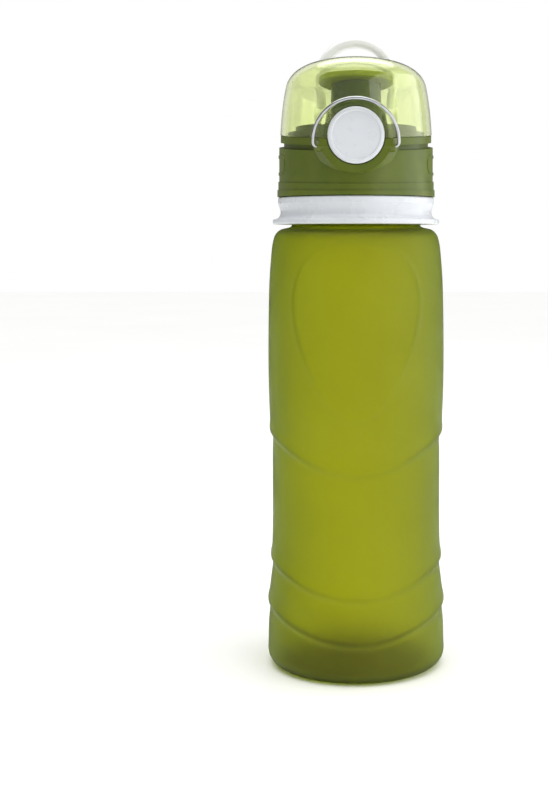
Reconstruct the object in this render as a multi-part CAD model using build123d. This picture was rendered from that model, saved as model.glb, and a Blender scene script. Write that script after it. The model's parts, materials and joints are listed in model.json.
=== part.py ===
from build123d import *
import math
import os

# Folding water bottle: a soft silicone bottle with a screw-on flip-top drinking lid.
#
# The bottle stands on z = 0 with its axis on +Z. Its front, where the lid's push button is, faces -Y, and the
# cover's hinge and the carry handle are at the back, +Y. Every length is in millimetres.
#
# The silicone moulding is written as three solids, because its foot and its neck keep their shape while the
# wall between them crumples. Everything else is one solid for each piece that comes apart on a bench.

# ---------------------------------------------------------------- silicone bottle
WALL = 2.0  # thickness of the silicone wall
FLOOR = 3.0  # thickness under the water
FOOT_RADIUS = 36.8  # widest radius, just above the floor
FOOT_CORNER = 5.6  # rounding between the underside and the side
WAIST_RADIUS = 34.9  # the lower grip
CHEST_RADIUS = 36.5  # the upper panel
FOOT_TOP = 28.0  # the foot keeps its shape below this height
BODY_HEIGHT = 181.4  # from the table to the neck
SHOULDER_HEIGHT = 7.4  # the part under the neck that keeps its shape with it
NECK_RADIUS = 26.6
NECK_HEIGHT = 10.0
BEAD_HEIGHT = 2.4  # bead round the neck's top edge
BEAD_DEPTH = 1.6
UNDERSIDE_RING_RADIUS = 22.0  # shallow moulded groove under the foot
UNDERSIDE_RING_WIDTH = 2.0
UNDERSIDE_RING_DEPTH = 0.8

# ---------------------------------------------------------------- hard neck
FIT_GAP = 0.1  # between pieces that are pressed together
COLLAR_LIFT = 1.4  # from the start of the neck to the collar
COLLAR_HEIGHT = 11.2
FLANGE_REACH = 8.0  # beyond the neck, as the next two are
COLLAR_WAIST_REACH = 4.8
COLLAR_LIP_REACH = 5.8
FLANGE_HEIGHT = 2.2
COLLAR_LIP_HEIGHT = 2.6
COLLAR_EDGE = 0.8  # rounding of the collar's edges
SPIGOT_WALL = 1.4  # round the neck, under the outside thread
SPIGOT_HEIGHT = 12.0
LUG_REACH = 4.6  # of the lanyard lug, beyond the flange
LUG_WIDTH = 9.0
EYE_RADIUS = 1.3
EYE_WALL = 1.5  # of the lug, beyond the eye
INSERT_WALL = 2.0
INSERT_TAIL = 0.9  # how far the insert hangs below the neck
INSERT_LIP = 1.4  # thickness of the lip on top of the spigot
LIP_INSET = 0.6  # of that lip from the spigot's edge
GASKET_THICKNESS = 1.8
GASKET_WIDTH = 4.2
GASKET_INSET = 0.8

# ---------------------------------------------------------------- screw thread
PITCH = 4.0
THREAD_TURNS = 1.5
THREAD_DEPTH = 1.0
THREAD_ROOT = 1.5  # height of a ridge where it meets its wall
THREAD_CREST = 0.8
THREAD_SINK = 0.2  # how far a ridge is rooted in its wall
THREAD_GAP = 0.4  # from a ridge's crest to the other piece's wall
THREAD_FOOT = 2.0  # from the collar's top to the lowest ridge

# ---------------------------------------------------------------- lid base
TURN_GAP = 0.2  # between the lid's lower edge and the collar
SKIRT_WALL = 2.5
LID_BANDS = [(3.0, 0.04), (6.4, 0.062)]  # height on the axis, and slope, of each step at the skirt's foot
BAND_STEP = 0.4  # how far each stands out from the one above
DECK_THICKNESS = 2.0
RIM_RISE = 25.8  # from the collar to the lid's upper edge, on the bottle's axis
RIM_SLOPE = 0.11  # the edge rises towards the back
RIM_INSET = 0.65
RIM_BAND = 2.9  # height of the edge above the groove
GROOVE_HEIGHT = 2.1
GROOVE_DEPTH = 2.0
GROOVE_START = 32.0  # degrees from the front
POCKET_WALL = 3.4  # round the drinking deck
PAD_LENGTH = 27.0  # raised outline of the grip pads
PAD_HEIGHT = 8.0
PAD_CORNER = 3.6
PAD_LINE = 1.0
PAD_STANDS = 0.3
PAD_RISE = 13.2  # from the collar to the pads' middle

# ---------------------------------------------------------------- button and latch
BUTTON_DROP = 2.4  # from the lid's edge, on the axis, to the button's middle
BUTTON_RADIUS = 11.2
BUTTON_STANDS = 3.3  # how far its face stands out of the lid's side
BUTTON_THICKNESS = 2.9
BUTTON_EDGE = 1.0
BUTTON_RIM = 1.5  # width of the raised edge round its face
BUTTON_DISH = 0.35
BUTTON_TRAVEL = 1.5
BUTTON_GAP = 0.4
BOSS_WALL = 3.0
BOSS_STANDS = 2.1
BOSS_FLARE = 2.6  # the boss widens by this much where it meets the lid
BOSS_BASE = 1.5  # thickness of the lid behind the button
STEM_HALF_WIDTH = 4.0
STEM_HEIGHT = 3.0
SLIDER_HEIGHT = 4.2
SLIDER_HALF_WIDTH = 6.4
SLIDER_RAIL = 1.6
SLIDER_LENGTH = 10.7
SLIDER_BAR = 1.5  # its front bar
SLIDER_BACK = 2.0  # its back bar
SLIDER_REST = 0.2  # above the deck
SLIDER_GAP = 0.3  # round the slider
SLIDER_ROOM = 1.0  # on each side of it
TONGUE_THICKNESS = 1.6
TONGUE_HALF_WIDTH = 3.9
TONGUE_ARM = 2.2
TONGUE_GAP = 3.0  # from the slider's front bar to the tongue
TONGUE_SLOT = 0.5  # clearance where the tongue passes the deck plate
WINDOW_HALF_WIDTH = 2.6
WINDOW_HEIGHT = 2.4
NOSE_HALF_WIDTH = 2.2
NOSE_HEIGHT = 1.8
NOSE_GAP = 0.15
SPRING_RADIUS = 1.75  # to the middle of the wire
SPRING_WIRE = 0.5
SPRING_TURNS = 4.5
STOP_THICKNESS = 1.4
STOP_GAP = 0.2  # from the spring's stop to the spout's flange

# ---------------------------------------------------------------- drinking deck
PLATE_GAP = 0.3  # between the deck plate and its pocket
PLATE_RISE = 0.6  # of its lower step above the lid's edge
PLATE_STEP_HEIGHT = 2.5
PLATE_STEP_WIDTH = 3.2
PLATE_THICKNESS = 1.8
SPOUT_HALF_WIDTH = 11.0
SPOUT_HALF_DEPTH = 8.5
SPOUT_TAPER = 0.8
SPOUT_WALL = 2.4
SPOUT_FLANGE = 2.4
SPOUT_FLANGE_HEIGHT = 2.0
SPOUT_CLEARANCE = 0.2  # in the deck plate's hole
SPOUT_GASKET = 1.0
VENT_SPACE = 3.1  # from the spout's flange to the vent's cap
VENT_RADIUS = 1.5
VENT_CAP_RADIUS = 3.6
VENT_CAP_HEIGHT = 2.2
VENT_GAP = 0.2

# ---------------------------------------------------------------- flip cover
ROOF_RISE = 26.0  # from the lid's edge to the outside of the roof, on the bottle's axis
ROOF_SLOPE = 0.205  # the roof falls towards the back
ROOF_ROUNDING = 8.0
COVER_LEAN = [(0.3, -0.30), (0.6, 0.085), (1.4, 0.43), (2.9, 0.78), (5.3, 1.16), (6.7, 1.40)]
# COVER_LEAN is how far the cover's side stands in from the lid's, at each share of the roof's rise
COVER_WALL = 1.8
COVER_GAP = 0.3  # above the lid's edge
CUP_INSET = 3.3  # of the wall behind the button from the lid's side
SEAL_MARGIN_X = 4.5  # of the seal beyond the spout
SEAL_MARGIN_Y = 3.2
SEAL_THICKNESS = 3.2
SEAL_EDGE = 0.9
SEAL_STEM_RADIUS = 2.0
SEAL_TAB_HALF_WIDTH = 3.4
SEAL_TAB_HALF_DEPTH = 2.6
SEAL_TAB_HEIGHT = 1.3
SEAL_TAB_CORNER = 1.0
SEAL_LIFT = 0.35  # between the spout's mouth and the seal

# ---------------------------------------------------------------- hinge and handle
HINGE_STANDS = 3.1  # how far the hinge is out of the lid's side
HINGE_RISE = 9.7  # above the lid's edge, on the bottle's axis
PIN_RADIUS = 1.25
PIN_GAP = 0.06
PIN_INSET = 0.6  # of each end inside its hub
KNUCKLE_RADIUS = 4.7
KNUCKLE_HALF_WIDTH = 7.6  # of the cover's knuckle
COIL_HALF_WIDTH = 3.6  # of the gap in it that holds the spring
SIDE_GAP = 0.3
EAR_WIDTH = 5.0
EAR_DROP = 18.0  # from the pin to the foot of an ear's web
COIL_RADIUS = 2.7  # to the middle of the wire
COIL_WIRE = 0.7
COIL_TURNS = 5.0
COIL_GAP = 0.4  # at each end of the coil
COIL_FOOT = 9.0  # length of the leg on the lid
COIL_ARM = 5.0  # length of the leg under the cover
HUB_RADIUS = 5.5
HUB_WIDTH = 6.2
HUB_EDGE = 0.6
HANDLE_RISE = 35.7  # from the hinge to the handle's top
HANDLE_THICKNESS = 4.2
HANDLE_DEPTH = 6.8
HANDLE_CORNER = 1.75

# ---------------------------------------------------------------- wire bail
BAIL_STANDS = 0.6  # how far its pivot is out of the lid's side
BAIL_DROP = 4.3  # from the button's middle to its pivot
BAIL_WIRE = 1.3
BAIL_CLEARANCE = 2.2  # from the boss to the middle of the wire
BAIL_LEG = 2.4
BAIL_BEND = 1.6
BAIL_LEAN = 16.0  # degrees forward of upright
BAIL_FOOT = 4.4  # length of the wire's ends inside the boss
BAIL_HOLE_GAP = 0.15
EYELET_RADIUS = 2.2  # pad round each of the bail's holes
EYELET_INSET = 1.4  # from the middle of the wire to the pad

# ---------------------------------------------------------------- places that follow from the sizes above
REACH = 80.0  # larger than the bottle's radius, for cutting tools
OVER = 1.0  # how far a cutting tool runs past what it cuts
SHOULDER_BOTTOM = BODY_HEIGHT - SHOULDER_HEIGHT
NECK_TOP = BODY_HEIGHT + NECK_HEIGHT
NECK_BORE = NECK_RADIUS - WALL
COLLAR_BOTTOM = BODY_HEIGHT + COLLAR_LIFT
COLLAR_TOP = COLLAR_BOTTOM + COLLAR_HEIGHT
FLANGE_RADIUS = NECK_RADIUS + FLANGE_REACH
SPIGOT_RADIUS = NECK_RADIUS + SPIGOT_WALL
SPIGOT_TOP = COLLAR_TOP + SPIGOT_HEIGHT
INSERT_TOP = SPIGOT_TOP + INSERT_LIP
LID_BOTTOM = COLLAR_TOP + TURN_GAP
THREAD_WALL = SPIGOT_RADIUS + THREAD_DEPTH + THREAD_GAP
LID_RADIUS = THREAD_WALL + SKIRT_WALL
DECK_BOTTOM = INSERT_TOP + GASKET_THICKNESS
DECK_TOP = DECK_BOTTOM + DECK_THICKNESS
RIM_HEIGHT = COLLAR_TOP + RIM_RISE
RIM_RADIUS = LID_RADIUS - RIM_INSET
POCKET_RADIUS = LID_RADIUS - POCKET_WALL
BUTTON_HEIGHT = RIM_HEIGHT - BUTTON_DROP
BUTTON_FACE = -LID_RADIUS - BUTTON_STANDS
BUTTON_REAR = BUTTON_FACE + BUTTON_THICKNESS
BUTTON_HOLE = BUTTON_RADIUS + BUTTON_GAP
BOSS_RADIUS = BUTTON_HOLE + BOSS_WALL
BOSS_FACE = -LID_RADIUS - BOSS_STANDS
BOSS_FLOOR = BUTTON_REAR + BUTTON_TRAVEL + BUTTON_GAP
CUP_BACK = -LID_RADIUS + CUP_INSET
MECHANISM_FRONT = BOSS_FLOOR + BOSS_BASE
SLIDER_FRONT = MECHANISM_FRONT + SLIDER_GAP
SLIDER_REAR = SLIDER_FRONT + SLIDER_LENGTH
SLIDER_BOTTOM = DECK_TOP + SLIDER_REST
SLIDER_TOP = SLIDER_BOTTOM + SLIDER_HEIGHT
SLIDER_MIDDLE = (SLIDER_BOTTOM + SLIDER_TOP) / 2
TONGUE_FRONT = SLIDER_FRONT + SLIDER_BAR + TONGUE_GAP
TONGUE_BACK = TONGUE_FRONT + TONGUE_THICKNESS
NOSE_TIP = TONGUE_BACK + NOSE_GAP
STOP_BACK = -SPOUT_HALF_DEPTH - SPOUT_FLANGE - STOP_GAP
STOP_FRONT = STOP_BACK - STOP_THICKNESS
PLATE_RADIUS = POCKET_RADIUS - PLATE_GAP
PLATE_STEP_RADIUS = PLATE_RADIUS - PLATE_STEP_WIDTH
PLATE_LOW_TOP = RIM_HEIGHT + PLATE_RISE
PLATE_TOP = PLATE_LOW_TOP + PLATE_STEP_HEIGHT
PLATE_FLAT = CUP_BACK + COVER_WALL + 2 * PLATE_GAP
VENT_Y = SPOUT_HALF_DEPTH + SPOUT_FLANGE + VENT_SPACE + VENT_CAP_RADIUS
ROOF_HEIGHT = RIM_HEIGHT + ROOF_RISE
ROOF_INSIDE = ROOF_HEIGHT - COVER_WALL
COVER_SIDE = [(LID_RADIUS - inset, RIM_HEIGHT + share * ROOF_RISE) for inset, share in COVER_LEAN]
SEAL_BOTTOM = ROOF_INSIDE - SEAL_THICKNESS
SPOUT_TOP = SEAL_BOTTOM - SEAL_LIFT
SPOUT_BOTTOM = DECK_TOP + SPOUT_GASKET
HINGE_Y = LID_RADIUS + HINGE_STANDS
HINGE_Z = RIM_HEIGHT + HINGE_RISE
EAR_INNER = KNUCKLE_HALF_WIDTH + SIDE_GAP
EAR_OUTER = EAR_INNER + EAR_WIDTH
HUB_INNER = EAR_OUTER + SIDE_GAP
HUB_OUTER = HUB_INNER + HUB_WIDTH
PIN_HALF_LENGTH = HUB_OUTER - PIN_INSET
HANDLE_HALF_WIDTH = (HUB_INNER + HUB_OUTER) / 2
BAIL_Y = -LID_RADIUS - BAIL_STANDS
BAIL_Z = BUTTON_HEIGHT - BAIL_DROP
BAIL_RADIUS = BOSS_RADIUS + BAIL_CLEARANCE
BAIL_END = BAIL_RADIUS - BAIL_FOOT


# ---------------------------------------------------------------- shapes used more than once
def ring(outer, inner, bottom, top):
    """Tube round the bottle's axis."""
    height = top - bottom
    return Pos(0, 0, (bottom + top) / 2) * (Cylinder(outer, height) - Cylinder(inner, height))


def disc(radius, bottom, top, x=0.0, y=0.0):
    """Upright round bar."""
    return Pos(x, y, (bottom + top) / 2) * Cylinder(radius, top - bottom)


def bar_x(radius, start, end, y, z):
    """Round bar along X."""
    return Pos((start + end) / 2, y, z) * Rot(0, 90, 0) * Cylinder(radius, end - start)


def bar_y(radius, start, end, z, x=0.0):
    """Round bar along Y."""
    return Pos(x, (start + end) / 2, z) * Rot(90, 0, 0) * Cylinder(radius, end - start)


def block(x_half, y_front, y_back, bottom, top):
    """Box that is centred on the YZ plane."""
    size = Box(2 * x_half, y_back - y_front, top - bottom)
    return Pos(0, (y_front + y_back) / 2, (bottom + top) / 2) * size


def below(height, slope):
    """Everything below a plane that is at this height on the axis and rises by slope towards the back."""
    front = (-REACH, height - slope * REACH)
    back = (REACH, height + slope * REACH)
    outline = Polyline(front, back, (REACH, -REACH), (-REACH, -REACH), close=True)
    return extrude(Plane.YZ * make_face(outline), amount=REACH, both=True)


def oval(half_width, half_depth, plane, inset=0.0):
    """Flat ellipse on a plane, with its long axis along X."""
    return plane * Ellipse(half_width - inset, half_depth - inset)


def level(z):
    """Horizontal plane at a height."""
    return Plane(origin=(0, 0, z), x_dir=(1, 0, 0), z_dir=(0, 0, 1))


def both_sides(shape):
    """A shape and its mirror image across the bottle's middle."""
    return shape + mirror(shape, about=Plane.YZ)


# ---------------------------------------------------------------- silicone bottle
def side_points():
    """Outer side from the foot's corner to the neck, as (radius, height)."""
    wall_height = SHOULDER_BOTTOM - FOOT_TOP
    wall = [
        ((FOOT_RADIUS + WAIST_RADIUS) / 2, 0.08),
        (WAIST_RADIUS, 0.27),
        ((WAIST_RADIUS + CHEST_RADIUS) / 2, 0.48),
        (CHEST_RADIUS, 0.67),
        (CHEST_RADIUS - 0.3, 0.88),
    ]
    return [
        (FOOT_RADIUS, FOOT_CORNER),
        (FOOT_RADIUS, FOOT_TOP * 0.7),
        *[(radius, FOOT_TOP + share * wall_height) for radius, share in wall],
        (CHEST_RADIUS - 1.6, SHOULDER_BOTTOM),
        (CHEST_RADIUS - 3.4, BODY_HEIGHT - 2.0),
        (NECK_RADIUS, BODY_HEIGHT),
    ]


def inward(points, distance):
    """The same line moved inwards along its own normals. Its last point keeps to the neck's bore."""
    moved = []
    for i, (r, z) in enumerate(points):
        before = points[max(i - 1, 0)]
        after = points[min(i + 1, len(points) - 1)]
        run, rise = after[0] - before[0], after[1] - before[1]
        length = math.hypot(run, rise)
        moved.append((r - distance * rise / length, z + distance * run / length))
    moved[-1] = (points[-1][0] - distance, points[-1][1] - distance)
    return moved


def silicone_body():
    """The whole soft moulding, before it is divided."""
    outer = side_points()
    inner = inward(outer, WALL)
    bead = NECK_RADIUS + BEAD_DEPTH
    outline = [
        Line((0, 0), (FOOT_RADIUS - FOOT_CORNER, 0)),
        RadiusArc((FOOT_RADIUS - FOOT_CORNER, 0), outer[0], -FOOT_CORNER),
        Spline(*outer, tangents=((0, 1), (-1, 0.1))),
        Polyline(
            outer[-1],
            (NECK_RADIUS, NECK_TOP - BEAD_HEIGHT),
            (bead, NECK_TOP - BEAD_HEIGHT),
            (bead, NECK_TOP),
            (NECK_BORE, NECK_TOP),
            inner[-1],
        ),
        Spline(*inner, tangents=((0, 1), (-1, 0.1))),
        Polyline(inner[0], (inner[0][0] - FOOT_CORNER / 2, FLOOR), (0, FLOOR), (0, 0)),
    ]
    solid = revolve(Plane.XZ * make_face(outline), Axis.Z)
    groove = UNDERSIDE_RING_RADIUS + UNDERSIDE_RING_WIDTH / 2
    return solid - ring(groove, groove - UNDERSIDE_RING_WIDTH, 0, UNDERSIDE_RING_DEPTH)


def silicone_parts():
    """Foot, wall and neck of the moulding, which meet face to face."""
    whole = silicone_body()
    cuts = [-OVER, FOOT_TOP, SHOULDER_BOTTOM, NECK_TOP + OVER]
    names = ["silicone_foot", "silicone_wall", "silicone_neck"]
    slices = [block(REACH, -REACH, REACH, low, high) for low, high in zip(cuts, cuts[1:])]
    return {name: whole & part for name, part in zip(names, slices)}


# ---------------------------------------------------------------- screw thread
def ridge(radius, height, outward):
    """Helical ridge that stands out of, or in from, a wall of this radius."""
    side = 1 if outward else -1
    away, sink = side * THREAD_DEPTH, -side * THREAD_SINK
    crest = THREAD_CREST / 2
    flank = (THREAD_ROOT - THREAD_CREST) / 2 / THREAD_DEPTH
    root = THREAD_ROOT / 2 + flank * THREAD_SINK
    path = Pos(0, 0, height) * Helix(PITCH, PITCH * THREAD_TURNS, radius)
    corners = [(sink, -root), (away, -crest), (away, crest), (sink, root)]
    at_start = Plane(origin=(radius, 0, height), x_dir=(1, 0, 0), z_dir=(0, 1, 0))
    section = at_start * make_face(Polyline(*[(x, -z) for x, z in corners], close=True))
    return sweep(section, path=path, is_frenet=True)


# ---------------------------------------------------------------- hard neck
def neck_collar():
    """White ring that grips the silicone neck from outside and carries the lid's thread."""
    flange_top = COLLAR_BOTTOM + FLANGE_HEIGHT
    lip_bottom = COLLAR_TOP - COLLAR_LIP_HEIGHT
    waist_radius = NECK_RADIUS + COLLAR_WAIST_REACH
    lip_radius = NECK_RADIUS + COLLAR_LIP_REACH
    bore = NECK_RADIUS + FIT_GAP
    groove = NECK_RADIUS + BEAD_DEPTH + FIT_GAP
    groove_bottom = NECK_TOP - BEAD_HEIGHT - FIT_GAP
    groove_top = NECK_TOP + FIT_GAP
    flange_flat = FLANGE_RADIUS - COLLAR_EDGE
    lip_flat = lip_radius - COLLAR_EDGE
    outline = [
        Polyline((bore, COLLAR_BOTTOM), (flange_flat, COLLAR_BOTTOM)),
        RadiusArc((flange_flat, COLLAR_BOTTOM), (FLANGE_RADIUS, COLLAR_BOTTOM + COLLAR_EDGE), -COLLAR_EDGE),
        Line((FLANGE_RADIUS, COLLAR_BOTTOM + COLLAR_EDGE), (FLANGE_RADIUS, flange_top - COLLAR_EDGE)),
        RadiusArc((FLANGE_RADIUS, flange_top - COLLAR_EDGE), (flange_flat, flange_top), -COLLAR_EDGE),
        Spline(
            (flange_flat, flange_top),
            (waist_radius, (flange_top + lip_bottom) / 2),
            (lip_radius, lip_bottom),
            tangents=((-1, 0.15), (0.35, 1)),
        ),
        Line((lip_radius, lip_bottom), (lip_radius, COLLAR_TOP - COLLAR_EDGE)),
        RadiusArc((lip_radius, COLLAR_TOP - COLLAR_EDGE), (lip_flat, COLLAR_TOP), -COLLAR_EDGE),
        Polyline(
            (lip_flat, COLLAR_TOP),
            (SPIGOT_RADIUS, COLLAR_TOP),
            (SPIGOT_RADIUS, SPIGOT_TOP),
            (NECK_BORE, SPIGOT_TOP),
            (NECK_BORE, groove_top),
            (groove, groove_top),
            (groove, groove_bottom),
            (bore, groove_bottom),
            (bore, COLLAR_BOTTOM),
        ),
    ]
    solid = revolve(Plane.XZ * make_face(outline), Axis.Z)
    lug_end = FLANGE_RADIUS + LUG_REACH
    lug = block(LUG_WIDTH / 2, waist_radius, lug_end, COLLAR_BOTTOM, flange_top)
    lug = fillet(lug.edges().filter_by(Axis.Z).group_by(Axis.Y)[-1], LUG_WIDTH * 0.35)
    solid += lug - disc(flange_flat - COLLAR_EDGE, COLLAR_BOTTOM, flange_top)
    solid -= disc(EYE_RADIUS, COLLAR_BOTTOM - OVER, flange_top + OVER, y=lug_end - EYE_WALL - EYE_RADIUS)
    return solid + ridge(SPIGOT_RADIUS, COLLAR_TOP + THREAD_FOOT, outward=True)


def neck_insert():
    """Hard tube pushed in from the top, which holds the silicone neck against the collar."""
    outer = NECK_BORE - FIT_GAP
    inner = outer - INSERT_WALL
    lip = ring(SPIGOT_RADIUS - LIP_INSET, inner, SPIGOT_TOP, INSERT_TOP)
    return ring(outer, inner, BODY_HEIGHT - INSERT_TAIL, SPIGOT_TOP) + lip


def lid_gasket():
    """Flat seal between the neck and the lid."""
    outer = SPIGOT_RADIUS - GASKET_INSET
    seal = ring(outer, outer - GASKET_WIDTH, INSERT_TOP, DECK_BOTTOM)
    return fillet(seal.edges().filter_by(GeomType.CIRCLE), GASKET_THICKNESS / 5)


# ---------------------------------------------------------------- lid base
def grip_pad():
    """Raised outline of the grip pad on the +X side."""
    side = Plane(origin=(LID_RADIUS / 2, 0, COLLAR_TOP + PAD_RISE), x_dir=(0, 1, 0), z_dir=(1, 0, 0))
    line = RectangleRounded(PAD_LENGTH, PAD_HEIGHT, PAD_CORNER)
    line -= RectangleRounded(PAD_LENGTH - 2 * PAD_LINE, PAD_HEIGHT - 2 * PAD_LINE, PAD_CORNER - PAD_LINE)
    frame = extrude(side * line, amount=LID_RADIUS)
    return frame & ring(LID_RADIUS + PAD_STANDS, THREAD_WALL + SKIRT_WALL / 2, LID_BOTTOM, RIM_HEIGHT)


def hinge_ear():
    """Ear on the +X side that carries the hinge pin, with its web down to the lid."""
    web = Polyline(
        (RIM_RADIUS - 1.5, HINGE_Z - EAR_DROP),
        (LID_RADIUS, HINGE_Z - EAR_DROP),
        (HINGE_Y + KNUCKLE_RADIUS * 0.72, HINGE_Z - 6),
        (HINGE_Y + KNUCKLE_RADIUS, HINGE_Z),
        (HINGE_Y - KNUCKLE_RADIUS, HINGE_Z),
        (RIM_RADIUS - 0.1, HINGE_Z - 6.4),
        (RIM_RADIUS - 1.5, HINGE_Z - 7.5),
        close=True,
    )
    solid = extrude(Plane.YZ * make_face(web), amount=EAR_WIDTH)
    solid += bar_x(KNUCKLE_RADIUS, 0, EAR_WIDTH, HINGE_Y, HINGE_Z)
    return Pos(EAR_INNER, 0, 0) * solid


def boss(outer):
    """Round boss round the button, flared towards the lid."""
    length = CUP_BACK - BOSS_FACE
    straight = bar_y(outer, BOSS_FACE, CUP_BACK + 2, BUTTON_HEIGHT)
    middle = (BOSS_FACE + 2 + CUP_BACK) / 2
    flare = Pos(0, middle, BUTTON_HEIGHT) * Rot(90, 0, 0) * Cone(outer + BOSS_FLARE, outer, length - 2)
    return straight, straight + flare


def lid_base():
    """Green cap: screw skirt, deck, slanted edge, button boss and hinge ears."""
    top = RIM_HEIGHT + RIM_SLOPE * REACH
    shell = disc(LID_RADIUS, LID_BOTTOM, top) & below(RIM_HEIGHT - RIM_BAND, RIM_SLOPE)
    edge = disc(RIM_RADIUS, DECK_BOTTOM, top) & below(RIM_HEIGHT, RIM_SLOPE)
    solid = shell + edge
    for steps_above, (height, slope) in enumerate(reversed(LID_BANDS), start=1):
        band = disc(LID_RADIUS + steps_above * BAND_STEP, LID_BOTTOM, top)
        solid += band & below(LID_BOTTOM + height, slope)
    groove = ring(REACH, LID_RADIUS - GROOVE_DEPTH, DECK_TOP, top)
    groove &= below(RIM_HEIGHT - RIM_BAND, RIM_SLOPE)
    groove -= below(RIM_HEIGHT - RIM_BAND - GROOVE_HEIGHT, RIM_SLOPE)
    front_width = LID_RADIUS * math.sin(math.radians(GROOVE_START))
    solid -= groove - block(front_width, -REACH, 0, DECK_BOTTOM, top)
    solid += both_sides(grip_pad())
    solid += boss(BOSS_RADIUS)[1] & below(RIM_HEIGHT, RIM_SLOPE)
    solid += both_sides(hinge_ear())
    # hollow for the neck, and the pocket above the deck
    solid -= disc(THREAD_WALL, LID_BOTTOM - OVER, DECK_BOTTOM)
    solid -= disc(POCKET_RADIUS, DECK_TOP, top)
    solid -= block(SLIDER_HALF_WIDTH + SLIDER_ROOM, MECHANISM_FRONT, 0, DECK_TOP, top)
    # button recess, the stem's window and the bail's holes
    solid -= bar_y(BUTTON_HOLE, BOSS_FACE - OVER, BOSS_FLOOR, BUTTON_HEIGHT)
    stem_top = SLIDER_BOTTOM + STEM_HEIGHT + BUTTON_GAP
    stem_room = STEM_HALF_WIDTH + BUTTON_GAP
    solid -= block(stem_room, BOSS_FLOOR - OVER, MECHANISM_FRONT + OVER, DECK_TOP, stem_top)
    hole = bar_x(BAIL_WIRE / 2 + BAIL_HOLE_GAP, BAIL_END - BUTTON_GAP, REACH, BAIL_Y, BAIL_Z)
    eyelet = bar_x(EYELET_RADIUS, BAIL_END - OVER, BAIL_RADIUS - EYELET_INSET, -LID_RADIUS, BAIL_Z)
    solid += both_sides(eyelet)
    solid -= both_sides(hole)
    # hinge bore, spout hole and vent hole
    solid -= bar_x(PIN_RADIUS + PIN_GAP, -REACH, REACH, HINGE_Y, HINGE_Z)
    mouth = oval(SPOUT_HALF_WIDTH, SPOUT_HALF_DEPTH, level(DECK_BOTTOM - OVER), SPOUT_WALL)
    solid -= extrude(mouth, amount=DECK_THICKNESS + 2 * OVER)
    solid -= disc(VENT_RADIUS + VENT_GAP, DECK_BOTTOM - OVER, DECK_TOP + OVER, y=VENT_Y)
    # stop for the button's spring
    solid += block(STEM_HALF_WIDTH, STOP_FRONT, STOP_BACK, DECK_TOP - DECK_THICKNESS / 2, SLIDER_TOP)
    return solid + ridge(THREAD_WALL, COLLAR_TOP + THREAD_FOOT + PITCH / 2, outward=False)


# ---------------------------------------------------------------- button and latch
def push_button():
    """White button and the stem that drives the latch."""
    cap = bar_y(BUTTON_RADIUS, BUTTON_FACE, BUTTON_REAR, BUTTON_HEIGHT)
    front_edge = cap.edges().filter_by(GeomType.CIRCLE).sort_by(Axis.Y)[0]
    cap = fillet(front_edge, BUTTON_EDGE)
    dish_radius = BUTTON_RADIUS - BUTTON_RIM
    dish = Cone(dish_radius + OVER, dish_radius - BUTTON_DISH, OVER + BUTTON_DISH)
    cap -= Pos(0, BUTTON_FACE + (BUTTON_DISH - OVER) / 2, BUTTON_HEIGHT) * Rot(-90, 0, 0) * dish
    stem = block(STEM_HALF_WIDTH, BUTTON_REAR - 0.5, SLIDER_FRONT, SLIDER_BOTTOM, SLIDER_BOTTOM + STEM_HEIGHT)
    return cap + stem


def latch_slider():
    """Frame round the cover's tongue. Its nose points at the tongue's window from behind."""
    frame = block(SLIDER_HALF_WIDTH, SLIDER_FRONT, SLIDER_REAR, SLIDER_BOTTOM, SLIDER_TOP)
    inside = SLIDER_HALF_WIDTH - SLIDER_RAIL
    back_bar = SLIDER_REAR - SLIDER_BACK
    frame -= block(inside, SLIDER_FRONT + SLIDER_BAR, back_bar, SLIDER_BOTTOM - OVER, SLIDER_TOP + OVER)
    low = SLIDER_MIDDLE - NOSE_HEIGHT / 2
    return frame + block(NOSE_HALF_WIDTH, NOSE_TIP, back_bar + 0.5, low, low + NOSE_HEIGHT)


def coil(radius, wire, turns, length):
    """Wire wound along +Z from the origin, with its two ends inside its length."""
    pitch = (length - wire) / turns
    path = Pos(0, 0, wire / 2) * Helix(pitch, length - wire, radius)
    start = Plane(origin=path @ 0, z_dir=path % 0)
    return sweep(start * Circle(wire / 2), path=path, is_frenet=True)


def button_spring():
    """Spring that returns the button."""
    wound = coil(SPRING_RADIUS, SPRING_WIRE, SPRING_TURNS, STOP_FRONT - SLIDER_REAR - 2 * FIT_GAP)
    return Pos(0, SLIDER_REAR + FIT_GAP, SLIDER_MIDDLE) * Rot(-90, 0, 0) * wound


# ---------------------------------------------------------------- drinking deck
def deck_plate():
    """Stepped plate that covers the latch and stands round the spout."""
    solid = disc(PLATE_RADIUS, DECK_TOP, PLATE_LOW_TOP) + disc(PLATE_STEP_RADIUS, DECK_TOP, PLATE_TOP)
    hollow = PLATE_STEP_RADIUS - PLATE_THICKNESS
    solid -= disc(PLATE_RADIUS - PLATE_THICKNESS, DECK_TOP, PLATE_LOW_TOP - PLATE_THICKNESS)
    solid -= disc(hollow, DECK_TOP, PLATE_TOP - PLATE_THICKNESS)
    solid -= block(REACH, -REACH, PLATE_FLAT, SLIDER_TOP, PLATE_TOP + OVER)
    room = SLIDER_HALF_WIDTH + SLIDER_ROOM
    solid -= block(room, -REACH, STOP_FRONT, DECK_TOP - OVER, SLIDER_TOP + SLIDER_GAP)
    slot = TONGUE_HALF_WIDTH + TONGUE_SLOT
    solid -= block(slot, -REACH, TONGUE_BACK + TONGUE_SLOT, DECK_TOP - OVER, PLATE_TOP + OVER)
    neck = oval(SPOUT_HALF_WIDTH, SPOUT_HALF_DEPTH, level(DECK_TOP - OVER), -SPOUT_CLEARANCE)
    solid -= extrude(neck, amount=PLATE_TOP - DECK_TOP + 2 * OVER)
    return solid - disc(VENT_RADIUS + VENT_GAP, DECK_TOP, PLATE_TOP + OVER, y=VENT_Y)


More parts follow.
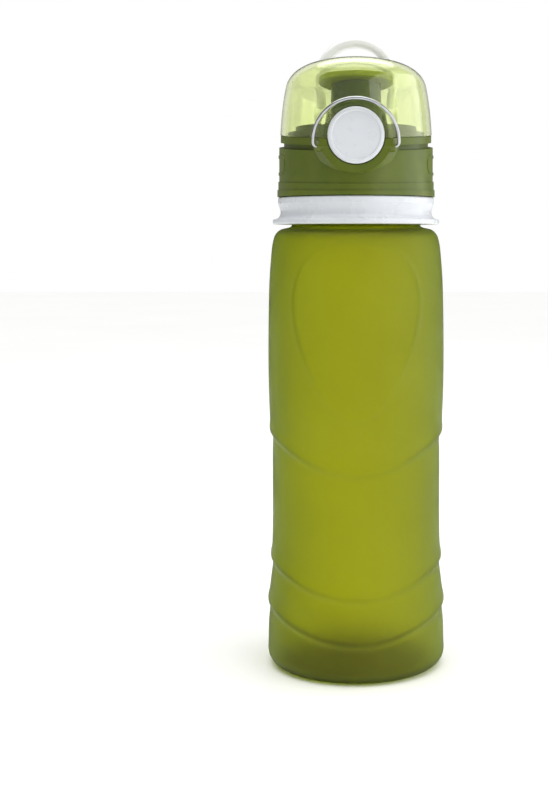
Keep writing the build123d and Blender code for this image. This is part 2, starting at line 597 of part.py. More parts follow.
def spout():
    """Oval drinking spout with a flange that seats on its gasket."""
    root = oval(SPOUT_HALF_WIDTH, SPOUT_HALF_DEPTH, level(SPOUT_BOTTOM))
    tip_height = SPOUT_TOP + ROOF_SLOPE * SPOUT_HALF_DEPTH + OVER
    tip = oval(SPOUT_HALF_WIDTH, SPOUT_HALF_DEPTH, level(tip_height), SPOUT_TAPER)
    solid = loft([root, tip])
    flange = oval(SPOUT_HALF_WIDTH, SPOUT_HALF_DEPTH, level(SPOUT_BOTTOM), -SPOUT_FLANGE)
    solid += extrude(flange, amount=SPOUT_FLANGE_HEIGHT)
    bore_root = oval(SPOUT_HALF_WIDTH, SPOUT_HALF_DEPTH, level(SPOUT_BOTTOM - 0.5), SPOUT_WALL)
    bore_tip = oval(SPOUT_HALF_WIDTH, SPOUT_HALF_DEPTH, level(tip_height + 0.5), SPOUT_WALL + SPOUT_TAPER)
    solid -= loft([bore_root, bore_tip])
    return solid & below(SPOUT_TOP, -ROOF_SLOPE)


def spout_gasket():
    """Oval seal under the spout's flange."""
    outer = oval(SPOUT_HALF_WIDTH, SPOUT_HALF_DEPTH, level(DECK_TOP), -SPOUT_FLANGE + 0.4)
    inner = oval(SPOUT_HALF_WIDTH, SPOUT_HALF_DEPTH, level(DECK_TOP), SPOUT_WALL - 0.6)
    return extrude(outer - inner, amount=SPOUT_GASKET)


def vent_valve():
    """Soft umbrella valve that lets air in behind the spout."""
    stem = disc(VENT_RADIUS, DECK_BOTTOM, PLATE_TOP, y=VENT_Y)
    cap = disc(VENT_CAP_RADIUS, PLATE_TOP, PLATE_TOP + VENT_CAP_HEIGHT, y=VENT_Y)
    cap = fillet(cap.edges().filter_by(GeomType.CIRCLE).sort_by(Axis.Z)[-1], VENT_CAP_HEIGHT * 0.6)
    return stem + cap


# ---------------------------------------------------------------- flip cover
def cover_block(inset):
    """The cover's outside, or its inside when inset is the wall's thickness."""
    side = [(r - inset, z) for r, z in COVER_SIDE]
    outline = [Spline(*side), Polyline(side[-1], (0, side[-1][1]), (0, side[0][1]), side[0])]
    solid = revolve(Plane.XZ * make_face(outline), Axis.Z)
    solid &= below(ROOF_HEIGHT - inset, -ROOF_SLOPE)
    roof = solid.faces().filter_by(GeomType.PLANE).sort_by(Axis.Z)[-1]
    return fillet(roof.edges(), ROOF_ROUNDING - inset)


def flip_cover():
    """Clear cover with the button's cup, the latch tongue and the hinge knuckle."""
    inside = cover_block(COVER_WALL)
    floor_back = CUP_BACK + COVER_WALL
    cup = boss(BOSS_RADIUS)[0] & block(REACH, -REACH, floor_back, DECK_BOTTOM, ROOF_HEIGHT)
    solid = cover_block(0.0) - inside + cup
    solid -= bar_y(BUTTON_HOLE, BOSS_FACE - OVER, CUP_BACK, BUTTON_HEIGHT)
    # knuckle and its web to the back wall
    knuckle = bar_x(KNUCKLE_RADIUS, -KNUCKLE_HALF_WIDTH, KNUCKLE_HALF_WIDTH, HINGE_Y, HINGE_Z)
    web_bottom = HINGE_Z - KNUCKLE_RADIUS * 0.6
    web = block(KNUCKLE_HALF_WIDTH, COVER_SIDE[2][0] - 3, HINGE_Y, web_bottom, HINGE_Z + KNUCKLE_RADIUS)
    solid += (knuckle + web) - inside
    solid -= block(COIL_HALF_WIDTH, COVER_SIDE[1][0] + 0.3, REACH, HINGE_Z - REACH / 2, HINGE_Z + REACH / 2)
    solid -= bar_x(PIN_RADIUS + PIN_GAP, -REACH, REACH, HINGE_Y, HINGE_Z)
    # lower edge
    solid -= below(RIM_HEIGHT + COVER_GAP, RIM_SLOPE)
    # tongue that hangs through the deck plate into the latch
    arm_bottom = RIM_HEIGHT + RIM_SLOPE * CUP_BACK + COVER_GAP + FIT_GAP
    arm_top = arm_bottom + TONGUE_ARM
    arm = block(TONGUE_HALF_WIDTH, floor_back - COVER_WALL / 4, TONGUE_BACK, arm_bottom, arm_top)
    tongue = block(TONGUE_HALF_WIDTH, TONGUE_FRONT, TONGUE_BACK, SLIDER_BOTTOM + SLIDER_REST, arm_top)
    low = SLIDER_MIDDLE - WINDOW_HEIGHT / 2
    tongue -= block(WINDOW_HALF_WIDTH, TONGUE_FRONT - OVER, TONGUE_BACK + OVER, low, low + WINDOW_HEIGHT)
    solid += arm + tongue
    # hole for the seal's stem
    return solid - disc(SEAL_STEM_RADIUS + FIT_GAP, SEAL_BOTTOM, ROOF_HEIGHT + OVER)


def cover_seal():
    """Oval silicone pad under the roof. Its stem is pulled through the roof and ends in a tab."""
    tilt = math.degrees(math.atan(ROOF_SLOPE))
    under = Plane(origin=(0, 0, SEAL_BOTTOM), x_dir=(1, 0, 0), z_dir=(0, ROOF_SLOPE, 1))
    outline = Ellipse(SPOUT_HALF_WIDTH + SEAL_MARGIN_X, SPOUT_HALF_DEPTH + SEAL_MARGIN_Y)
    pad = extrude(under * outline, amount=SEAL_THICKNESS * math.cos(math.radians(tilt)) - FIT_GAP)
    pad = fillet(pad.edges().group_by(SortBy.LENGTH)[-1], SEAL_EDGE)
    stem = disc(SEAL_STEM_RADIUS, SEAL_BOTTOM + SEAL_THICKNESS / 2, ROOF_HEIGHT + SEAL_TAB_HEIGHT / 4)
    tab = Box(2 * SEAL_TAB_HALF_WIDTH, 2 * SEAL_TAB_HALF_DEPTH, SEAL_TAB_HEIGHT)
    tab = fillet(tab.edges().filter_by(Axis.Z), SEAL_TAB_CORNER)
    top = ROOF_HEIGHT + SEAL_TAB_HEIGHT / 2 + FIT_GAP
    return pad + stem + Pos(0, 0, top) * Rot(-tilt, 0, 0) * tab


# ---------------------------------------------------------------- hinge and handle
def hinge_pin():
    """Steel pin through the ears, the cover and both handle hubs."""
    return bar_x(PIN_RADIUS, -PIN_HALF_LENGTH, PIN_HALF_LENGTH, HINGE_Y, HINGE_Z)


def torsion_spring():
    """Spring round the pin that lifts the cover, with one leg on the lid and one under the cover's web."""
    width = 2 * (COIL_HALF_WIDTH - COIL_GAP)
    along_pin = Pos(-width / 2, HINGE_Y, HINGE_Z) * Rot(0, 90, 0)
    wound = along_pin * coil(COIL_RADIUS, COIL_WIRE, COIL_TURNS, width)
    leg = COIL_RADIUS - FIT_GAP
    reach = width / 2 - COIL_WIRE / 2
    foot = Pos(-reach, HINGE_Y + leg, HINGE_Z - COIL_FOOT / 2) * Cylinder(COIL_WIRE / 2, COIL_FOOT)
    arm = Pos(reach, HINGE_Y - leg, HINGE_Z + COIL_ARM / 2) * Cylinder(COIL_WIRE / 2, COIL_ARM)
    return wound + foot + arm


def carry_handle():
    """White loop with a round hub at each end."""
    leg_top = HANDLE_RISE - HANDLE_THICKNESS / 2 - HANDLE_HALF_WIDTH
    path = Line((HANDLE_HALF_WIDTH, 0, 0), (HANDLE_HALF_WIDTH, 0, leg_top))
    path += ThreePointArc(
        (HANDLE_HALF_WIDTH, 0, leg_top), (0, 0, leg_top + HANDLE_HALF_WIDTH), (-HANDLE_HALF_WIDTH, 0, leg_top)
    )
    path += Line((-HANDLE_HALF_WIDTH, 0, leg_top), (-HANDLE_HALF_WIDTH, 0, 0))
    section = RectangleRounded(HANDLE_THICKNESS, HANDLE_DEPTH, HANDLE_CORNER)
    start = Plane(origin=(HANDLE_HALF_WIDTH, 0, 0), x_dir=(1, 0, 0), z_dir=(0, 0, 1))
    loop = Pos(0, HINGE_Y, HINGE_Z) * sweep(start * section, path=path)
    hub = bar_x(HUB_RADIUS, HUB_INNER, HUB_OUTER, HINGE_Y, HINGE_Z)
    hub = fillet(hub.edges().filter_by(GeomType.CIRCLE), HUB_EDGE)
    solid = loop + both_sides(hub)
    return solid - bar_x(PIN_RADIUS + PIN_GAP, -REACH, REACH, HINGE_Y, HINGE_Z)


# ---------------------------------------------------------------- wire bail
def wire_bail():
    """Sprung wire that swings over the button's boss to lock the cover."""
    side, top = BAIL_RADIUS, BAIL_LEG
    path = FilletPolyline((BAIL_END, 0, 0), (side, 0, 0), (side, 0, top), radius=BAIL_BEND)
    path += ThreePointArc((side, 0, top), (0, 0, top + side), (-side, 0, top))
    path += FilletPolyline((-side, 0, top), (-side, 0, 0), (-BAIL_END, 0, 0), radius=BAIL_BEND)
    start = Plane(origin=(BAIL_END, 0, 0), x_dir=(0, 1, 0), z_dir=(1, 0, 0))
    wire = sweep(start * Circle(BAIL_WIRE / 2), path=path)
    return Pos(0, BAIL_Y, BAIL_Z) * Rot(BAIL_LEAN, 0, 0) * wire


def parts():
    """Every node's name and solid."""
    made = silicone_parts()
    for maker in (
        neck_collar,
        neck_insert,
        lid_gasket,
        lid_base,
        push_button,
        latch_slider,
        button_spring,
        deck_plate,
        spout,
        spout_gasket,
        vent_valve,
        flip_cover,
        cover_seal,
        hinge_pin,
        torsion_spring,
        carry_handle,
        wire_bail,
    ):
        made[maker.__name__] = maker()
    return made


def main():
    os.makedirs("parts", exist_ok=True)
    for name, shape in parts().items():
        export_step(shape, f"parts/{name}.step")


main()
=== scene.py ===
# %% [markdown]
# # A folding water bottle, dressed for its portrait
# The hard parts of this bottle come ready from the CAD model: the lid, its cover, the button, the hinge
# and the loop. This lesson gives them their plastics and metals, and models the one piece that CAD
# can't do justice to, the soft silicone bottle with its moulded ribs. Everything is in metres, standing
# on z = 0, front towards -Y.

import bpy
import json
import math
import numpy as np
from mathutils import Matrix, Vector


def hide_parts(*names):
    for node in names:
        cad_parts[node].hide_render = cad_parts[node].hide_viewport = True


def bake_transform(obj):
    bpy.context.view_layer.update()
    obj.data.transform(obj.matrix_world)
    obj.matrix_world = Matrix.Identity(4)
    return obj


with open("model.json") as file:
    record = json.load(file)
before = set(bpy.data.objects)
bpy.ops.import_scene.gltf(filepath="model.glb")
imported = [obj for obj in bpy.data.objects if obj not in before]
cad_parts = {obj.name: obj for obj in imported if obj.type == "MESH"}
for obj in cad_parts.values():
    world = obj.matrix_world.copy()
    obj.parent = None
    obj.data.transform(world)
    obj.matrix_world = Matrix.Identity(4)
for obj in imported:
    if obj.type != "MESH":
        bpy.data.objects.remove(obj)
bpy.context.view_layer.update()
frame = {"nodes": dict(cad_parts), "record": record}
nodes = frame["nodes"]
MM = 0.001

# %% [markdown]
# ## The camera
# A bottle is usually shown from the height of its shoulder with a short portrait lens, and this one
# stands to the right of the middle. A lens shift moves the picture sideways and up without tilting the
# bottle's sides, and a very small tilt does the rest, so that the shift can stay small.

# %% Camera
CAMERA_DISTANCE = 0.560
CAMERA_HEIGHT = 0.1764
FOCAL_LENGTH = 59.8
SENSOR = 36.0
SHIFT_RIGHT = -0.1015
SHIFT_UP = -0.150
HORIZON_OVER_MIDDLE = 0.203  # share of the picture's height

camera_data = bpy.data.cameras.new("camera")
camera_data.lens = FOCAL_LENGTH
camera_data.sensor_width = SENSOR
camera_data.shift_x = SHIFT_RIGHT
camera_data.shift_y = SHIFT_UP
camera_data.clip_start = 0.01
camera = bpy.data.objects.new("camera", camera_data)
bpy.context.scene.collection.objects.link(camera)
tilt = math.atan((HORIZON_OVER_MIDDLE + SHIFT_UP) * SENSOR / FOCAL_LENGTH)
camera.location = (0, -CAMERA_DISTANCE, CAMERA_HEIGHT)
camera.rotation_euler = (math.pi / 2 - tilt, 0, 0)
bpy.context.scene.camera = camera
print("camera tilt in degrees:", round(math.degrees(tilt), 2))

# %% [markdown]
# ## Tools for materials
# A colour is chosen as an sRGB hex value, the way a paint chart gives it, and Blender's shaders work in
# linear light, so one function converts. Another adds a shader node with its settings and its links. A
# third starts a material from the plastic or metal's typical index of refraction, roughness and
# metallic value.

# %% Helpers for colours and shader nodes
NOISE_REACH = (0.35, 0.65)  # nearly all of Blender's noise lies between these two values


def linear(hex_colour):
    """sRGB hex to the linear colour that shaders use."""
    parts = [int(hex_colour[i:i + 2], 16) / 255 for i in (1, 3, 5)]
    return tuple(v / 12.92 if v <= 0.04045 else ((v + 0.055) / 1.055) ** 2.4 for v in parts) + (1.0,)


def add_node(material, kind, inputs=None, **settings):
    """A shader node with its settings. A socket among the inputs is linked, and anything else is a value."""
    made = material.node_tree.nodes.new(kind)
    for name, value in settings.items():
        setattr(made, name, value)
    for name, value in (inputs or {}).items():
        if isinstance(value, bpy.types.NodeSocket):
            material.node_tree.links.new(value, made.inputs[name])
        else:
            made.inputs[name].default_value = value
    return made


def start_material(name, **values):
    """A material with only its Principled shader, and the values given for that shader's sockets."""
    material = bpy.data.materials.new(name)
    material.use_nodes = True
    shader = material.node_tree.nodes["Principled BSDF"]
    for socket, value in values.items():
        shader.inputs[socket.replace("_", " ")].default_value = value
    return material, shader


def grain(material, shader, size_mm, depth_mm, detail=3.0):
    """Fine moulded or blasted texture: a bump whose grains are size_mm across and depth_mm deep."""
    place = add_node(material, "ShaderNodeTexCoord").outputs["Object"]
    pattern = {"Vector": place, "Scale": 1 / (size_mm * MM), "Detail": detail}
    noise = add_node(material, "ShaderNodeTexNoise", pattern)
    bump = {"Height": noise.outputs["Fac"], "Distance": depth_mm * MM, "Strength": 1.0}
    made = add_node(material, "ShaderNodeBump", bump)
    material.node_tree.links.new(made.outputs["Normal"], shader.inputs["Normal"])
    return place


def drift(material, place, socket, low, high, size_mm):
    """Slow change over the surface between two values or two colours, in patches of about size_mm."""
    pattern = {"Vector": place, "Scale": 1 / (size_mm * MM), "Detail": 2.0}
    noise = add_node(material, "ShaderNodeTexNoise", pattern)
    if isinstance(low, tuple):
        ramp = add_node(material, "ShaderNodeValToRGB", {"Fac": noise.outputs["Fac"]})
        for element, position, colour in zip(ramp.color_ramp.elements, NOISE_REACH, (low, high)):
            element.position, element.color = position, colour
        made = ramp.outputs["Color"]
    else:
        span = {"From Min": NOISE_REACH[0], "From Max": NOISE_REACH[1], "To Min": low, "To Max": high}
        remap = add_node(material, "ShaderNodeMapRange", {"Value": noise.outputs["Fac"], **span})
        made = remap.outputs["Result"]
    material.node_tree.links.new(made, socket)


# %% [markdown]
# ## Frosted silicone
# The bottle is platinum-cured silicone rubber, coloured in the mass and pressed in a mould whose walls
# were blasted, so it has a fine matt skin. Light passes through it and is scattered, which makes the
# middle of the bottle glow. A plain green surface would look like painted wood. Most of the light goes
# through a rough transmission here, and a part is scattered just under the surface. The dye is a volume
# absorption inside the wall, so that light that runs a long way through silicone, at the sides and in
# the foot, comes out darker and greener, as it does in the real rubber. Silicone's index of refraction
# is 1.41. It is lowered to 1.25 here, to match how little white glare the real skin shows at its
# edges. The grain is drawn coarser than the blasted one, which is too fine to show.

# %% Silicone for the bottle
DYE = (0.745, 0.845, 0.06, 1.0)  # linear, what a thick piece lets through
DYE_DENSITY = 560.0  # per metre
SCATTER = (0.9, 1.0, 0.25)  # how far red, green and blue spread under the skin, as shares of the next line
SCATTER_MM = 6.0


def frosted_silicone():
    material, shader = start_material(
        "frosted silicone rubber",
        IOR=1.25,
        Specular_IOR_Level=0.05,
        Transmission_Weight=0.95,
        Subsurface_Weight=0.3,
    )
    shader.inputs["Subsurface Radius"].default_value = SCATTER
    shader.inputs["Subsurface Scale"].default_value = SCATTER_MM * MM
    place = grain(material, shader, size_mm=0.7, depth_mm=0.02, detail=4.0)
    drift(material, place, shader.inputs["Base Color"], linear("#D8D142"), linear("#DED74C"), size_mm=45)
    drift(material, place, shader.inputs["Roughness"], 0.46, 0.56, size_mm=12)
    dye = add_node(material, "ShaderNodeVolumeAbsorption", {"Color": DYE, "Density": DYE_DENSITY})
    output = material.node_tree.nodes["Material Output"]
    material.node_tree.links.new(dye.outputs["Volume"], output.inputs["Volume"])
    return material


# %% [markdown]
# ## The hard plastics and the metal
# The lid is injection-moulded polypropylene, opaque and satin from a finely etched mould, and the loop
# is the same plastic in white. The cover is a clear styrene copolymer, polished, with a little green
# dye. The collar and the button are glossy white ABS, and the spout is ABS in dark green. Wire, springs
# and pin are stainless steel: a metal keeps Blender's default index of refraction and takes all its
# colour from its reflections. A picture could be wrapped round each part for its texture, but patterns
# made by nodes need no unwrapping and stay sharp from close by. Each plastic gets a fine grain, a slow
# drift of colour and a slightly uneven roughness.

# %% Plastics
def satin_plastic(name, dark, light, roughness, gloss=0.5, grain_mm=0.5, depth_mm=0.008, uneven=0.045):
    """Moulded plastic. A polished mould gives a shallow grain and an even roughness."""
    material, shader = start_material(name, IOR=1.49, Specular_IOR_Level=gloss)
    place = grain(material, shader, size_mm=grain_mm, depth_mm=depth_mm)
    drift(material, place, shader.inputs["Base Color"], linear(dark), linear(light), size_mm=14)
    drift(material, place, shader.inputs["Roughness"], roughness - uneven, roughness + uneven, size_mm=5)
    return material


def clear_plastic():
    material, shader = start_material(
        "clear styrene copolymer", IOR=1.5, Specular_IOR_Level=0.35, Transmission_Weight=1.0
    )
    place = grain(material, shader, size_mm=6.0, depth_mm=0.01, detail=1.0)
    drift(material, place, shader.inputs["Base Color"], linear("#E9F0C4"), linear("#EEF4CD"), size_mm=30)
    drift(material, place, shader.inputs["Roughness"], 0.015, 0.05, size_mm=8)
    return material


SEAL_SCATTER = (1.0, 0.9, 0.2)
SEAL_SCATTER_MM = 3.0


def seal_silicone():
    material, shader = start_material(
        "translucent seal silicone", Roughness=0.35, IOR=1.41, Transmission_Weight=0.35, Subsurface_Weight=0.4
    )
    shader.inputs["Subsurface Radius"].default_value = SEAL_SCATTER
    shader.inputs["Subsurface Scale"].default_value = SEAL_SCATTER_MM * MM
    place = grain(material, shader, size_mm=0.6, depth_mm=0.01)
    drift(material, place, shader.inputs["Base Color"], linear("#B4C01C"), linear("#BECA26"), size_mm=8)
    return material


def bright_steel(name, roughness, line_mm):
    """Drawn stainless wire, with faint marks from the die."""
    material, shader = start_material(name, Metallic=1.0)
    place = grain(material, shader, size_mm=line_mm, depth_mm=0.004)
    drift(material, place, shader.inputs["Base Color"], linear("#A4A6A9"), linear("#B4B6B9"), size_mm=3)
    drift(material, place, shader.inputs["Roughness"], roughness, roughness + 0.08, size_mm=2)
    return material


lid_green = satin_plastic("satin green polypropylene", "#4C5A0A", "#55620F", roughness=0.38, gloss=0.4)
spout_green = satin_plastic("dark green ABS", "#3E4C0C", "#465410", roughness=0.25, gloss=0.3, depth_mm=0.004)
white_abs = satin_plastic(
    "glossy white ABS", "#CCCFD3", "#D0D3D7", roughness=0.28, grain_mm=1.2, depth_mm=0.0006, uneven=0.01
)
white_polypropylene = satin_plastic(
    "white polypropylene", "#EFF0ED", "#F4F5F2", roughness=0.3, depth_mm=0.004, uneven=0.02
)
latch_acetal = satin_plastic("white acetal", "#DADCDD", "#E2E3E4", roughness=0.45)
finishes = {
    "bottle_silicone": frosted_silicone(),
    "white_plastic": white_abs,
    "seal_silicone": seal_silicone(),
    "lid_plastic": lid_green,
    "spout_plastic": spout_green,
    "clear_plastic": clear_plastic(),
    "latch_plastic": latch_acetal,
    "steel_pin": bright_steel("bright steel pin", 0.22, line_mm=0.3),
    "spring_wire": bright_steel("spring wire", 0.3, line_mm=0.25),
    "bail_wire": bright_steel("polished bail wire", 0.14, line_mm=0.4),
}
finish_of = {"carry_handle": white_polypropylene}  # the loop is a softer plastic than the collar
slot_of = {part["node"]: part["material_slot"] for part in frame["record"]["subparts"]}
for name, part in nodes.items():
    part.data.materials.clear()
    part.data.materials.append(finish_of.get(name, finishes[slot_of[name]]))
print("finishes:", len(finishes), "for", len(nodes), "CAD nodes")

# %% [markdown]
# ## Modelling helpers
# Blender's operators act on whatever is selected, so each new piece starts from an empty selection, and
# its faces or edges are then picked in code by where they are.

# %% Helpers for modelling
def only(piece):
    """Selects this object alone and makes it active."""
    if bpy.context.object and bpy.context.object.mode != "OBJECT":
        bpy.ops.object.mode_set(mode="OBJECT")
    bpy.ops.object.select_all(action="DESELECT")
    piece.select_set(True)
    bpy.context.view_layer.objects.active = piece


def settle(piece, name, finish):
    """Names a finished piece, puts its place into its mesh and gives it its finish."""
    only(piece)
    bpy.ops.object.transform_apply(location=True, rotation=True, scale=True)
    piece.name = piece.data.name = name
    piece.data.materials.clear()
    piece.data.materials.append(finishes[finish])
    print(name, "triangles:", sum(len(face.vertices) - 2 for face in piece.data.polygons))


def smooth_through(points, steps):
    """Points of a Catmull-Rom curve through these points, with steps spans between each two."""
    knots = np.array(points, float)
    padded = np.vstack([2 * knots[0] - knots[1], knots, 2 * knots[-1] - knots[-2]])
    made = []
    for a, b, c, d in zip(padded, padded[1:], padded[2:], padded[3:]):
        for t in np.arange(steps) / steps:
            bend = (2 * a - 5 * b + 4 * c - d) * t**2 + (3 * b - a - 3 * c + d) * t**3
            made.append(0.5 * (2 * b + (c - a) * t + bend))
    return np.vstack(made + [knots[-1]])


# %% [markdown]
# ## The silicone bottle
# The real bottle is one moulding. Its side is drawn first, as the radius at each height: a rounded
# foot, a slight waist for the hand, a fuller chest and a shoulder that turns in under the collar. The
# outline could be spun round the axis, but its points lie closer together at the corners, and so would
# the faces. A tube with many rows is pulled to the outline instead, as clay is on a wheel, which gives
# evenly spaced faces for the ribs to come.

# %% The bottle's outline
FOOT_RADIUS = 36.8
FOOT_CORNER = 6.0
NECK_RADIUS = 26.6
NECK_UNDER_COLLAR = 189.0
CORNER_STEPS = 8  # points round the corner of the foot
CURVE_STEPS = 12  # points between two heights of the side

turns = np.linspace(0, math.pi / 2, CORNER_STEPS + 1)[:-1]
corner = [(FOOT_RADIUS - FOOT_CORNER * (1 - math.sin(t)), FOOT_CORNER * (1 - math.cos(t))) for t in turns]
side = [
    (36.8, 6.0), (36.9, 18.0), (36.5, 28.0), (35.6, 40.0), (34.9, 56.0), (34.9, 76.0), (35.3, 92.0),
    (36.0, 104.0), (36.5, 120.0), (36.5, 140.0), (36.1, 158.5), (35.3, 170.0), (34.7, 175.0),
]
shoulder = [(33.6, 178.6), (31.4, 180.7), (28.6, 181.4), (27.0, 182.0), (NECK_RADIUS, 183.2)]
curve = smooth_through(side + shoulder, CURVE_STEPS)
outline = np.vstack([corner, curve, [(NECK_RADIUS, NECK_UNDER_COLLAR)]])
print("outline points:", len(outline), "widest radius:", outline[:, 0].max())

# %% A tube pulled to the outline
ROUND = 192  # faces round the bottle
CUTS = (20, 11)  # cutting each row into 21, and each of those into 12
ROWS = math.prod(cuts + 1 for cuts in CUTS)  # faces up its side


def along(line, count):
    """count + 1 points, evenly spaced along a line of (radius, height)."""
    lengths = np.concatenate([[0], np.cumsum(np.linalg.norm(np.diff(line, axis=0), axis=1))])
    stops = np.linspace(0, lengths[-1], count + 1)
    return np.column_stack([np.interp(stops, lengths, line[:, axis]) for axis in (0, 1)])


bpy.ops.object.select_all(action="DESELECT")
bpy.ops.mesh.primitive_cylinder_add(
    vertices=ROUND, radius=1, depth=1, end_fill_type="NOTHING", location=(0, 0, 0.5)
)
bottle = bpy.context.object
bpy.ops.object.transform_apply(location=True)
bpy.ops.object.mode_set(mode="EDIT")
bpy.ops.mesh.select_mode(type="EDGE")
for cuts in CUTS:
    bpy.ops.mesh.select_all(action="DESELECT")
    bpy.ops.object.mode_set(mode="OBJECT")
    for edge in bottle.data.edges:
        low, high = (bottle.data.vertices[i].co.z for i in edge.vertices)
        edge.select = abs(high - low) > 1e-4
    bpy.ops.object.mode_set(mode="EDIT")
    bpy.ops.mesh.subdivide(number_cuts=cuts)
bpy.ops.object.mode_set(mode="OBJECT")
rows = along(outline, ROWS)
for vertex in bottle.data.vertices:
    radius, height = rows[round(vertex.co.z * ROWS)]
    angle = math.atan2(vertex.co.y, vertex.co.x)
    vertex.co = (radius * math.cos(angle), radius * math.sin(angle), height)
print("rows:", ROWS, "tube vertices:", len(bottle.data.vertices))

# %% [markdown]
# ## Ribs and the oval panel
# Three ribs run round the bottle, each a soft lip with a hollow under it, where the wall folds when the
# bottle is rolled up. They dip at the front and the back like a smile. A raised line draws an
# egg-shaped panel on the chest. They could be cut in as edge loops and moved by hand, but their curved
# course would need hundreds of small moves. They are worked out from where a point is on the wall,
# which gives smooth curves and keeps them in the same place however fine the mesh is.

# %% Raise the ribs and the panel
RIBS = [(97.0, 83.5), (44.6, 33.9), (26.2, 16.3)]  # height at the sides, and at the front and back
RIB_LIP, RIB_HOLLOW = 0.4, 1.1  # how far the lip stands out, and how deep the hollow under it is
RIB_SOFTNESS = 1.5
LIP_SPREAD = 1.6  # of the lip, as a multiple of the softness
HOLLOW_REACH = 8.0  # over which the hollow dies away downwards
PANEL_MIDDLE, PANEL_HALF_HEIGHT, PANEL_HALF_WIDTH = 141.0, 35.5, 24.0
PANEL_FULLNESS = 0.45  # 0.5 is an ellipse, and less is fuller at the ends
PANEL_EGG = 0.33  # how much wider it is above its middle, and narrower below
PANEL_LINE, PANEL_RISE = 0.45, 0.3  # height of the line round the panel, and of the panel inside it
PANEL_SOFTNESS, PANEL_EDGE = 1.5, 0.8
CHEST_RADIUS, CHEST_BOTTOM = 36.4, 60.0
SHOULDER_START = 178.0
RELIEF_FADE = 4.0  # the relief dies away over this height above the foot and under the shoulder


def rib(above):
    """How far the wall stands out at a height above a rib's edge, in millimetres."""
    lip = RIB_LIP * np.exp(-(((above - RIB_SOFTNESS) / (LIP_SPREAD * RIB_SOFTNESS)) ** 2))
    depth = np.clip(-above, 0, None)
    hollow = RIB_HOLLOW * (1 - np.exp(-((depth / RIB_SOFTNESS) ** 1.5))) * np.exp(-depth / HOLLOW_REACH)
    return lip - hollow


def panel_half_width(height):
    """Half the egg's width at a height, which is nothing above its top and below its tip."""
    t = np.clip((height - PANEL_MIDDLE) / PANEL_HALF_HEIGHT, -1, 1)
    return PANEL_HALF_WIDTH * (1 - t**2) ** PANEL_FULLNESS * (1 + PANEL_EGG * t)


def panel_points(count=400):
    """Points round the egg, on the front of the chest."""
    turn = np.linspace(0, 2 * math.pi, count, endpoint=False)
    height = PANEL_MIDDLE - PANEL_HALF_HEIGHT * np.cos(turn)
    width = np.sign(np.sin(turn)) * panel_half_width(height)
    return np.column_stack([width, -np.sqrt(CHEST_RADIUS**2 - width**2), height])


def relief(points):
    """Distance that each point of the wall moves outwards, in millimetres."""
    x, y, z = points.T
    facing = (y / np.hypot(x, y)) ** 2
    moved = sum(rib(z - (at_side + (at_front - at_side) * facing)) for at_side, at_front in RIBS)
    chest = (z > CHEST_BOTTOM) & (z < SHOULDER_START)
    front = np.column_stack([x, -np.abs(y), z])[chest]
    nearest = np.full(len(front), np.inf)
    for point in panel_points():
        nearest = np.minimum(nearest, np.linalg.norm(front - point, axis=1))
    inside = np.abs(front[:, 0]) < panel_half_width(front[:, 2])
    signed = np.where(inside, nearest, -nearest)
    line = PANEL_LINE * np.exp(-((nearest / PANEL_SOFTNESS) ** 2))
    moved[chest] += line + PANEL_RISE / (1 + np.exp(-signed / PANEL_EDGE))
    room = np.minimum(z - FOOT_CORNER, SHOULDER_START - z)
    return moved * np.clip(room / RELIEF_FADE, 0, 1)


wall = np.array([vertex.co for vertex in bottle.data.vertices])
moved = relief(wall)
outward = wall * (1, 1, 0) / np.hypot(wall[:, 0], wall[:, 1])[:, None]
wall = (wall + outward * moved[:, None]) * MM
bottle.data.vertices.foreach_set("co", wall.ravel())
bottle.data.update()
print("relief in mm:", round(moved.min(), 2), "to", round(moved.max(), 2))

# %% [markdown]
# ## Foot and wall thickness
# The open bottom is closed as it would be by hand: its edge loop is extruded inwards, up into a shallow
# moulded ring, down again and to the middle. An inner wall could be modelled the same way, but Solidify
# follows the ribs by itself and gives the skin the same thickness everywhere, as a mould does.

# %% Close the foot and give the skin its thickness
WALL = 2.0
FOOT_LOOPS = [(23.4, 0.0), (22.8, 0.7), (21.2, 0.7), (20.6, 0.0), (10.0, 0.0), (0.5, 0.0)]  # radius, height

only(bottle)
bpy.ops.object.mode_set(mode="EDIT")
bpy.ops.mesh.select_mode(type="VERT")
bpy.ops.mesh.select_all(action="DESELECT")
bpy.ops.object.mode_set(mode="OBJECT")
for vertex in bottle.data.vertices:
    vertex.select = vertex.co.z < 1e-6
bpy.ops.object.mode_set(mode="EDIT")
radius, height = FOOT_RADIUS - FOOT_CORNER, 0.0
for next_radius, next_height in FOOT_LOOPS:
    bpy.ops.mesh.extrude_region_move(TRANSFORM_OT_translate={"value": (0, 0, (next_height - height) * MM)})
    scale = next_radius / radius
    bpy.ops.transform.resize(value=(scale, scale, 1), center_override=(0, 0, next_height * MM))
    radius, height = next_radius, next_height
bpy.ops.mesh.merge(type="COLLAPSE")
bpy.ops.mesh.select_all(action="SELECT")
bpy.ops.mesh.normals_make_consistent(inside=False)
bpy.ops.object.mode_set(mode="OBJECT")
solidify = bottle.modifiers.new("wall", "SOLIDIFY")
solidify.thickness = WALL * MM
solidify.offset = -1
bpy.ops.object.modifier_apply(modifier="wall")
bpy.ops.object.shade_smooth()
settle(bottle, "silicone_bottle", "bottle_silicone")
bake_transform(bottle)
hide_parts("silicone_foot", "silicone_wall", "silicone_neck")

# %% [markdown]
# ## Table and light
# The bottle stands on a plain pale table. A wide white ceiling, made of a sun lamp with a very large
# angle, turns the table white all the way back. The surround is brighter behind the bottle, where the
# camera and the clear cover look at it, than in front, where it would wash the colours out. That is
# done with the kind of ray and not with a picture, so it holds from every side. A softbox at the front
# right and a large window-like one at the right draw the soft gradient over the lid and the collar, and
# a weak fill at the left keeps that side from going flat.

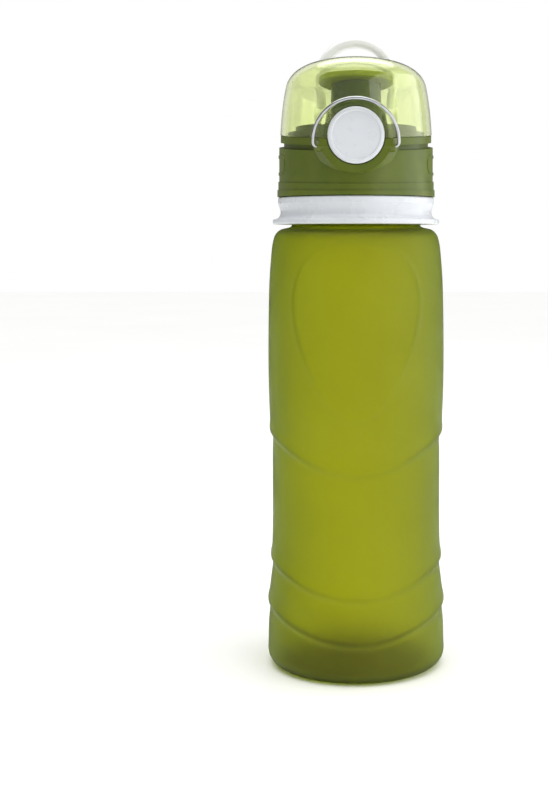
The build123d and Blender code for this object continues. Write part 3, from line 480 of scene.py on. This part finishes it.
# %% Table
TABLE_WIDTH = 8.0
bpy.ops.object.select_all(action="DESELECT")
bpy.ops.mesh.primitive_plane_add(size=1, location=(0, 0, 0))
table = bpy.context.object
table.scale = (TABLE_WIDTH, TABLE_WIDTH, 1)
bpy.ops.object.transform_apply(scale=True)
table.name = "table"
paper, paper_shader = start_material("white paper", IOR=1.45, Roughness=0.35)
paper_place = grain(paper, paper_shader, size_mm=1.5, depth_mm=0.01)
paper_colour = paper_shader.inputs["Base Color"]
drift(paper, paper_place, paper_colour, linear("#FAFAF9"), linear("#FCFCFB"), size_mm=300)
table.data.materials.append(paper)

# %% Lights
CEILING = 3.3  # a wide white ceiling, which makes the table white all the way back
CEILING_SPREAD = 80.0  # degrees
ROOM = 0.28  # how much the room in front lights the bottle
BACKDROP = 1.0  # how bright it looks behind the bottle, and through the clear cover
MIDDLE = (0, 0, 0.13)  # of the bottle, in metres


def softbox(name, place, width, height, watts):
    """Rectangular area light that faces the middle of the bottle."""
    data = bpy.data.lights.new(name, "AREA")
    data.shape, data.size, data.size_y, data.energy = "RECTANGLE", width, height, watts
    lamp = bpy.data.objects.new(name, data)
    bpy.context.scene.collection.objects.link(lamp)
    lamp.location = place
    lamp.rotation_euler = (Vector(MIDDLE) - Vector(place)).to_track_quat("-Z", "Y").to_euler()


softbox("key", (0.50, -0.56, 0.34), 0.50, 0.60, 1.5)
softbox("window", (0.80, 0.05, 0.30), 0.80, 0.70, 3.4)
softbox("fill", (-0.80, -0.40, 0.30), 0.25, 0.8, 0.3)
ceiling = bpy.data.lights.new("ceiling", "SUN")
ceiling.energy = CEILING
ceiling.angle = math.radians(CEILING_SPREAD)
ceiling_lamp = bpy.data.objects.new("ceiling", ceiling)
bpy.context.scene.collection.objects.link(ceiling_lamp)

world = bpy.data.worlds.new("studio")
world.use_nodes = True
backdrop = world.node_tree.nodes["Background"]
rays = add_node(world, "ShaderNodeLightPath")
seen = add_node(
    world,
    "ShaderNodeMath",
    {0: rays.outputs["Is Camera Ray"], 1: rays.outputs["Is Transmission Ray"]},
    operation="MAXIMUM",
)
levels = {"Value": seen.outputs["Value"], "To Min": ROOM, "To Max": BACKDROP}
brightness = add_node(world, "ShaderNodeMapRange", levels)
world.node_tree.links.new(brightness.outputs["Result"], backdrop.inputs["Strength"])
backdrop.inputs["Color"].default_value = (1, 1, 1, 1)
bpy.context.scene.world = world
bpy.context.scene.view_settings.view_transform = "Standard"
